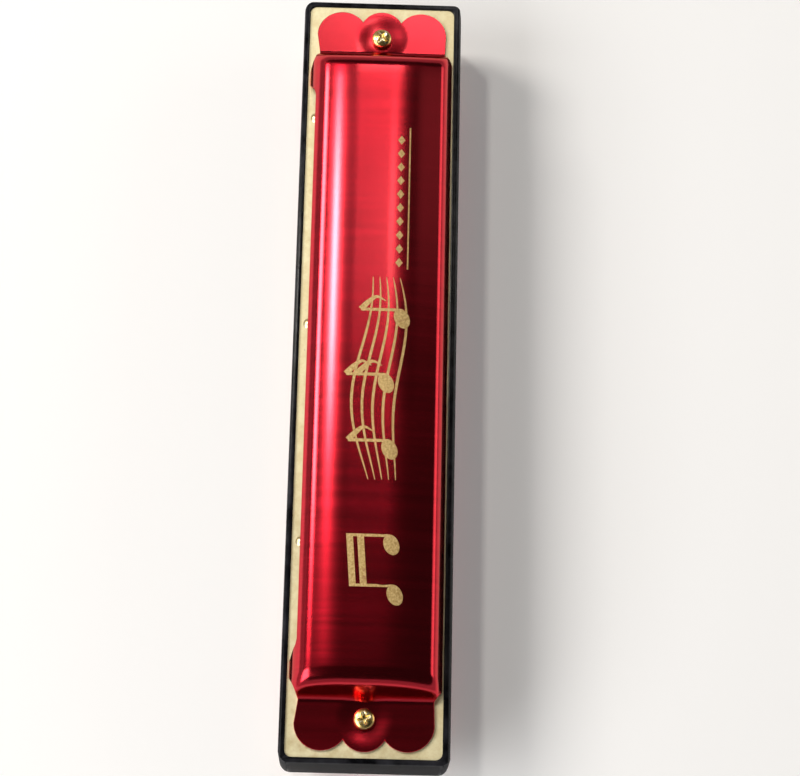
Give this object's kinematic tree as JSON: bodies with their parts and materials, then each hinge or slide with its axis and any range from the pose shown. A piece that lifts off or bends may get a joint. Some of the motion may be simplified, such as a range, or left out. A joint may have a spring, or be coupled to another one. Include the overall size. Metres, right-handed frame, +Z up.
{
  "type": "harmonica",
  "caption": "Two-row reed harmonica with a black comb, brass reed plates, sprung reeds and two red anodised covers with scalloped screw flanges.",
  "frame": {"origin": "middle of the bounding box in length and depth, at the crown of the lower cover, which it rests on", "axes": "+X along the length towards the high notes, -Y towards the player's mouth, +Y towards the sound openings, +Z up"},
  "size_m": [0.13, 0.0268, 0.021],
  "materials": {
    "comb_plastic": "gloss black moulding",
    "plate_brass": "pale satin brass sheet",
    "reed_brass": "milled reed brass",
    "cover_red": "fine brushed red anodised sheet",
    "screw_brass": "bright yellow plated, cross recess",
    "nail_brass": "bright brass"
  },
  "bodies": {
    "harmonica": {"comb": "comb_plastic", "cover_screws": "screw_brass", "upper_reed_plate": "plate_brass", "lower_reed_plate": "plate_brass", "upper_cover": "cover_red", "lower_cover": "cover_red", "upper_plate_nails": "nail_brass", "lower_plate_nails": "nail_brass", "upper_reed_pads": "reed_brass", "lower_reed_pads": "reed_brass", "upper_reed_rivets": "nail_brass", "lower_reed_rivets": "nail_brass"},
    "upper_reed_01": {"upper_reed_01": "reed_brass"},
    "upper_reed_02": {"upper_reed_02": "reed_brass"},
    "upper_reed_03": {"upper_reed_03": "reed_brass"},
    "upper_reed_04": {"upper_reed_04": "reed_brass"},
    "upper_reed_05": {"upper_reed_05": "reed_brass"},
    "upper_reed_06": {"upper_reed_06": "reed_brass"},
    "upper_reed_07": {"upper_reed_07": "reed_brass"},
    "upper_reed_08": {"upper_reed_08": "reed_brass"},
    "upper_reed_09": {"upper_reed_09": "reed_brass"},
    "upper_reed_10": {"upper_reed_10": "reed_brass"},
    "upper_reed_11": {"upper_reed_11": "reed_brass"},
    "upper_reed_12": {"upper_reed_12": "reed_brass"},
    "upper_reed_13": {"upper_reed_13": "reed_brass"},
    "upper_reed_14": {"upper_reed_14": "reed_brass"},
    "upper_reed_15": {"upper_reed_15": "reed_brass"},
    "upper_reed_16": {"upper_reed_16": "reed_brass"},
    "lower_reed_01": {"lower_reed_01": "reed_brass"},
    "lower_reed_02": {"lower_reed_02": "reed_brass"},
    "lower_reed_03": {"lower_reed_03": "reed_brass"},
    "lower_reed_04": {"lower_reed_04": "reed_brass"},
    "lower_reed_05": {"lower_reed_05": "reed_brass"},
    "lower_reed_06": {"lower_reed_06": "reed_brass"},
    "lower_reed_07": {"lower_reed_07": "reed_brass"},
    "lower_reed_08": {"lower_reed_08": "reed_brass"},
    "lower_reed_09": {"lower_reed_09": "reed_brass"},
    "lower_reed_10": {"lower_reed_10": "reed_brass"},
    "lower_reed_11": {"lower_reed_11": "reed_brass"},
    "lower_reed_12": {"lower_reed_12": "reed_brass"},
    "lower_reed_13": {"lower_reed_13": "reed_brass"},
    "lower_reed_14": {"lower_reed_14": "reed_brass"},
    "lower_reed_15": {"lower_reed_15": "reed_brass"},
    "lower_reed_16": {"lower_reed_16": "reed_brass"}
  },
  "joints": [
    {"name": "upper_reed_01_swing", "type": "hinge", "parent": "harmonica", "child": "upper_reed_01", "pos_m": [-0.04875, -0.0064, 0.01413], "axis": [1, 0, 0], "range_deg": [-3.5, 3.5], "stiffness_Nm_per_rad": 0.000575},
    {"name": "upper_reed_02_swing", "type": "hinge", "parent": "harmonica", "child": "upper_reed_02", "pos_m": [-0.04225, 0.0068, 0.01537], "axis": [-1, 0, 0], "range_deg": [-3.5, 3.5], "stiffness_Nm_per_rad": 0.000531},
    {"name": "upper_reed_03_swing", "type": "hinge", "parent": "harmonica", "child": "upper_reed_03", "pos_m": [-0.03575, -0.0064, 0.01413], "axis": [1, 0, 0], "range_deg": [-3.5, 3.5], "stiffness_Nm_per_rad": 0.00049},
    {"name": "upper_reed_04_swing", "type": "hinge", "parent": "harmonica", "child": "upper_reed_04", "pos_m": [-0.02925, 0.0068, 0.01537], "axis": [-1, 0, 0], "range_deg": [-3.5, 3.5], "stiffness_Nm_per_rad": 0.000451},
    {"name": "upper_reed_05_swing", "type": "hinge", "parent": "harmonica", "child": "upper_reed_05", "pos_m": [-0.02275, -0.0064, 0.01413], "axis": [1, 0, 0], "range_deg": [-3.5, 3.5], "stiffness_Nm_per_rad": 0.000414},
    {"name": "upper_reed_06_swing", "type": "hinge", "parent": "harmonica", "child": "upper_reed_06", "pos_m": [-0.01625, 0.0068, 0.01537], "axis": [-1, 0, 0], "range_deg": [-3.5, 3.5], "stiffness_Nm_per_rad": 0.000379},
    {"name": "upper_reed_07_swing", "type": "hinge", "parent": "harmonica", "child": "upper_reed_07", "pos_m": [-0.00975, -0.0064, 0.01413], "axis": [1, 0, 0], "range_deg": [-3.5, 3.5], "stiffness_Nm_per_rad": 0.000346},
    {"name": "upper_reed_08_swing", "type": "hinge", "parent": "harmonica", "child": "upper_reed_08", "pos_m": [-0.00325, 0.0068, 0.01537], "axis": [-1, 0, 0], "range_deg": [-3.5, 3.5], "stiffness_Nm_per_rad": 0.000315},
    {"name": "upper_reed_09_swing", "type": "hinge", "parent": "harmonica", "child": "upper_reed_09", "pos_m": [0.00325, -0.0064, 0.01413], "axis": [1, 0, 0], "range_deg": [-3.5, 3.5], "stiffness_Nm_per_rad": 0.000286},
    {"name": "upper_reed_10_swing", "type": "hinge", "parent": "harmonica", "child": "upper_reed_10", "pos_m": [0.00975, 0.0068, 0.01537], "axis": [-1, 0, 0], "range_deg": [-3.5, 3.5], "stiffness_Nm_per_rad": 0.000259},
    {"name": "upper_reed_11_swing", "type": "hinge", "parent": "harmonica", "child": "upper_reed_11", "pos_m": [0.01625, -0.0064, 0.01413], "axis": [1, 0, 0], "range_deg": [-3.5, 3.5], "stiffness_Nm_per_rad": 0.000233},
    {"name": "upper_reed_12_swing", "type": "hinge", "parent": "harmonica", "child": "upper_reed_12", "pos_m": [0.02275, 0.0068, 0.01537], "axis": [-1, 0, 0], "range_deg": [-3.5, 3.5], "stiffness_Nm_per_rad": 0.00021},
    {"name": "upper_reed_13_swing", "type": "hinge", "parent": "harmonica", "child": "upper_reed_13", "pos_m": [0.02925, -0.0064, 0.01413], "axis": [1, 0, 0], "range_deg": [-3.5, 3.5], "stiffness_Nm_per_rad": 0.000188},
    {"name": "upper_reed_14_swing", "type": "hinge", "parent": "harmonica", "child": "upper_reed_14", "pos_m": [0.03575, 0.0068, 0.01537], "axis": [-1, 0, 0], "range_deg": [-3.5, 3.5], "stiffness_Nm_per_rad": 0.000167},
    {"name": "upper_reed_15_swing", "type": "hinge", "parent": "harmonica", "child": "upper_reed_15", "pos_m": [0.04225, -0.0064, 0.01413], "axis": [1, 0, 0], "range_deg": [-3.5, 3.5], "stiffness_Nm_per_rad": 0.000148},
    {"name": "upper_reed_16_swing", "type": "hinge", "parent": "harmonica", "child": "upper_reed_16", "pos_m": [0.04875, 0.0068, 0.01537], "axis": [-1, 0, 0], "range_deg": [-3.5, 3.5], "stiffness_Nm_per_rad": 0.000131},
    {"name": "lower_reed_01_swing", "type": "hinge", "parent": "harmonica", "child": "lower_reed_01", "pos_m": [-0.04875, -0.0064, 0.00688], "axis": [-1, 0, 0], "range_deg": [-3.5, 3.5], "stiffness_Nm_per_rad": 0.000575},
    {"name": "lower_reed_02_swing", "type": "hinge", "parent": "harmonica", "child": "lower_reed_02", "pos_m": [-0.04225, 0.0068, 0.00562], "axis": [1, 0, 0], "range_deg": [-3.5, 3.5], "stiffness_Nm_per_rad": 0.000531},
    {"name": "lower_reed_03_swing", "type": "hinge", "parent": "harmonica", "child": "lower_reed_03", "pos_m": [-0.03575, -0.0064, 0.00688], "axis": [-1, 0, 0], "range_deg": [-3.5, 3.5], "stiffness_Nm_per_rad": 0.00049},
    {"name": "lower_reed_04_swing", "type": "hinge", "parent": "harmonica", "child": "lower_reed_04", "pos_m": [-0.02925, 0.0068, 0.00562], "axis": [1, 0, 0], "range_deg": [-3.5, 3.5], "stiffness_Nm_per_rad": 0.000451},
    {"name": "lower_reed_05_swing", "type": "hinge", "parent": "harmonica", "child": "lower_reed_05", "pos_m": [-0.02275, -0.0064, 0.00688], "axis": [-1, 0, 0], "range_deg": [-3.5, 3.5], "stiffness_Nm_per_rad": 0.000414},
    {"name": "lower_reed_06_swing", "type": "hinge", "parent": "harmonica", "child": "lower_reed_06", "pos_m": [-0.01625, 0.0068, 0.00562], "axis": [1, 0, 0], "range_deg": [-3.5, 3.5], "stiffness_Nm_per_rad": 0.000379},
    {"name": "lower_reed_07_swing", "type": "hinge", "parent": "harmonica", "child": "lower_reed_07", "pos_m": [-0.00975, -0.0064, 0.00688], "axis": [-1, 0, 0], "range_deg": [-3.5, 3.5], "stiffness_Nm_per_rad": 0.000346},
    {"name": "lower_reed_08_swing", "type": "hinge", "parent": "harmonica", "child": "lower_reed_08", "pos_m": [-0.00325, 0.0068, 0.00562], "axis": [1, 0, 0], "range_deg": [-3.5, 3.5], "stiffness_Nm_per_rad": 0.000315},
    {"name": "lower_reed_09_swing", "type": "hinge", "parent": "harmonica", "child": "lower_reed_09", "pos_m": [0.00325, -0.0064, 0.00688], "axis": [-1, 0, 0], "range_deg": [-3.5, 3.5], "stiffness_Nm_per_rad": 0.000286},
    {"name": "lower_reed_10_swing", "type": "hinge", "parent": "harmonica", "child": "lower_reed_10", "pos_m": [0.00975, 0.0068, 0.00562], "axis": [1, 0, 0], "range_deg": [-3.5, 3.5], "stiffness_Nm_per_rad": 0.000259},
    {"name": "lower_reed_11_swing", "type": "hinge", "parent": "harmonica", "child": "lower_reed_11", "pos_m": [0.01625, -0.0064, 0.00688], "axis": [-1, 0, 0], "range_deg": [-3.5, 3.5], "stiffness_Nm_per_rad": 0.000233},
    {"name": "lower_reed_12_swing", "type": "hinge", "parent": "harmonica", "child": "lower_reed_12", "pos_m": [0.02275, 0.0068, 0.00562], "axis": [1, 0, 0], "range_deg": [-3.5, 3.5], "stiffness_Nm_per_rad": 0.00021},
    {"name": "lower_reed_13_swing", "type": "hinge", "parent": "harmonica", "child": "lower_reed_13", "pos_m": [0.02925, -0.0064, 0.00688], "axis": [-1, 0, 0], "range_deg": [-3.5, 3.5], "stiffness_Nm_per_rad": 0.000188},
    {"name": "lower_reed_14_swing", "type": "hinge", "parent": "harmonica", "child": "lower_reed_14", "pos_m": [0.03575, 0.0068, 0.00562], "axis": [1, 0, 0], "range_deg": [-3.5, 3.5], "stiffness_Nm_per_rad": 0.000167},
    {"name": "lower_reed_15_swing", "type": "hinge", "parent": "harmonica", "child": "lower_reed_15", "pos_m": [0.04225, -0.0064, 0.00688], "axis": [-1, 0, 0], "range_deg": [-3.5, 3.5], "stiffness_Nm_per_rad": 0.000148},
    {"name": "lower_reed_16_swing", "type": "hinge", "parent": "harmonica", "child": "lower_reed_16", "pos_m": [0.04875, 0.0068, 0.00562], "axis": [1, 0, 0], "range_deg": [-3.5, 3.5], "stiffness_Nm_per_rad": 0.000131}
  ]
}
